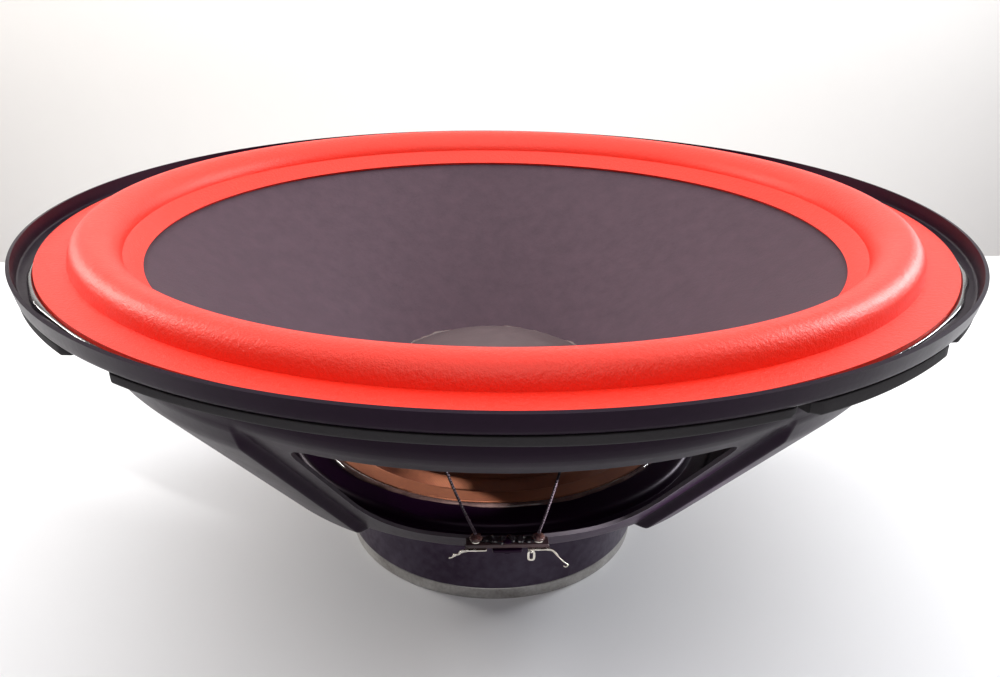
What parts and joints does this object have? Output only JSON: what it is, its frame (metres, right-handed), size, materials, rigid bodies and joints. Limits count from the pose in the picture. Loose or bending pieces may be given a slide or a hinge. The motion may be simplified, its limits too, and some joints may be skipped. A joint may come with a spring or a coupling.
{
  "type": "car subwoofer speaker",
  "caption": "Large round car woofer: black pressed steel basket with four windows, red foam surround, dark paper cone with a dust cap, ferrite ring magnet and solder terminals.",
  "frame": {"origin": "centre of the back plate's underside, on which the speaker stands", "axes": "+Z along the speaker's axis towards the listener, -Y to the front window with the terminals, +X to the right seen from there"},
  "size_m": [0.39, 0.39, 0.1637],
  "materials": {
    "basket_paint": "satin black stoved paint on pressed steel",
    "gasket_foam": "matt closed-cell foam strip",
    "surround_foam": "moulded red foam with a fine open grain",
    "cone_paper": "pressed paper pulp, matt and finely mottled",
    "cap_paper": "pressed paper, matt",
    "black_glue": "set black adhesive, glossy",
    "clear_glue": "set clear adhesive, glossy",
    "spider_cloth": "resin-dipped corrugated cotton cloth",
    "ferrite": "dark satin ferrite",
    "zinc_steel": "bright zinc plate, turned",
    "former_card": "resin-bonded paper tube",
    "copper_wire": "enamelled copper wire",
    "tinsel_braid": "braided tinsel lead, dark",
    "fibre_board": "vulcanised fibre board, black",
    "tinned_brass": "tinned brass, bright",
    "solder": "set solder, dull bright"
  },
  "bodies": {
    "frame": {"back_plate": "zinc_steel", "basket": "basket_paint", "basket_rivet_1": "zinc_steel", "basket_rivet_2": "zinc_steel", "basket_rivet_3": "zinc_steel", "basket_rivet_4": "zinc_steel", "basket_rivet_5": "zinc_steel", "basket_rivet_6": "zinc_steel", "magnet": "ferrite", "pole_piece": "zinc_steel", "rear_gasket_back": "gasket_foam", "rear_gasket_front": "gasket_foam", "rear_gasket_left": "gasket_foam", "rear_gasket_right": "gasket_foam", "rear_gasket_right_corner": "gasket_foam", "solder_joint_left": "solder", "solder_joint_right": "solder", "spider": "spider_cloth", "spider_seat_glue": "clear_glue", "surround": "surround_foam", "surround_glue_bead": "black_glue", "terminal_board": "fibre_board", "terminal_board_rivet": "tinned_brass", "terminal_lug_left": "tinned_brass", "terminal_lug_right": "tinned_brass", "terminal_rivet_left": "tinned_brass", "terminal_rivet_right": "tinned_brass", "tinsel_lead_left": "tinsel_braid", "tinsel_lead_right": "tinsel_braid", "top_plate": "zinc_steel"},
    "cone_assembly": {"cone": "cone_paper", "dust_cap": "cap_paper", "dust_cap_glue": "clear_glue", "voice_coil_former": "former_card", "voice_coil_winding": "copper_wire", "cone_neck_glue": "black_glue", "spider_neck_glue": "black_glue", "lead_anchor_left": "black_glue", "lead_anchor_right": "black_glue"}
  },
  "joints": [
    {"name": "cone_travel", "type": "slide", "parent": "frame", "child": "cone_assembly", "axis": [0, 0, 1], "range_m": [-0.007, 0.007], "stiffness_N_per_m": 3200, "springref_m": 0.0006, "deforming": ["surround", "spider", "tinsel_lead_left", "tinsel_lead_right"]}
  ]
}
